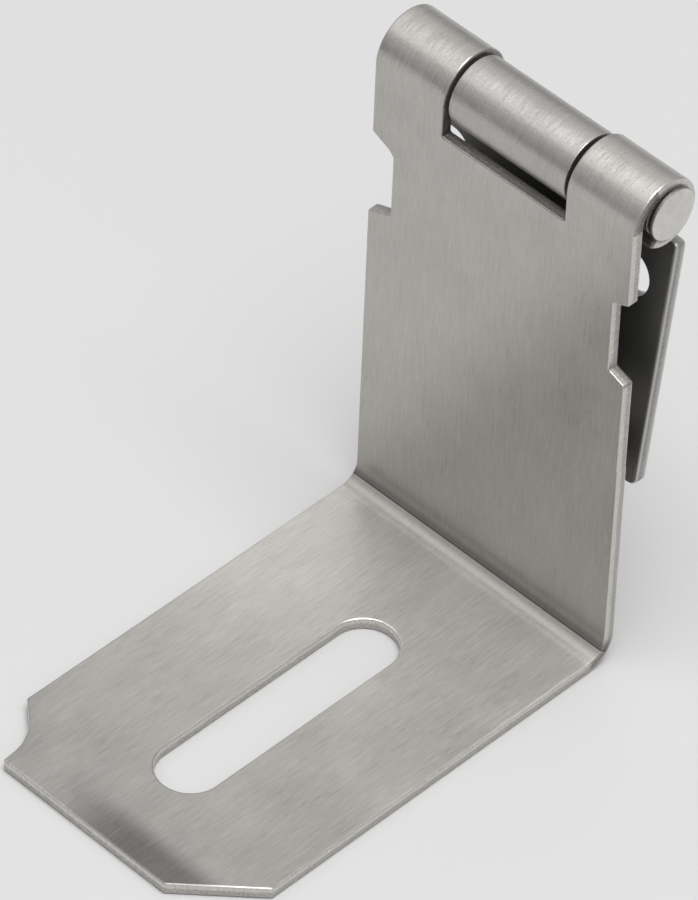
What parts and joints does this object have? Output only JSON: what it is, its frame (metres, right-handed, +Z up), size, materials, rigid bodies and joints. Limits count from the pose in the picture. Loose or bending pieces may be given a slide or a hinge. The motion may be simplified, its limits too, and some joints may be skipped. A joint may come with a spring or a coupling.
{
  "type": "hasp and staple",
  "caption": "Right-angle hasp in brushed stainless sheet: a slotted flange and an upright, with a screw-on mounting leaf hinged to its top edge by a riveted pin.",
  "frame": {"origin": "on the surface the flange rests on, under the middle of the part's box", "axes": "+Z up from the flange towards the hinge; +X along the hinge pin towards its rivet head; -Y the way the flange points"},
  "size_m": [0.0414, 0.0712, 0.0708],
  "materials": {
    "arm_steel": "satin brushed along the strap, sheared edges left matt",
    "leaf_steel": "satin brushed, a little darker than the arm",
    "pin_steel": "fine satin, smoother than the sheet"
  },
  "bodies": {
    "arm": {"hasp_arm": "arm_steel", "hinge_pin": "pin_steel"},
    "leaf": {"mounting_leaf": "leaf_steel"}
  },
  "joints": [
    {"name": "leaf_swing", "type": "hinge", "parent": "arm", "child": "leaf", "pos_m": [0, 0.03065, 0.06585], "axis": [1, 0, 0], "range_deg": [-2.1, 267]}
  ]
}
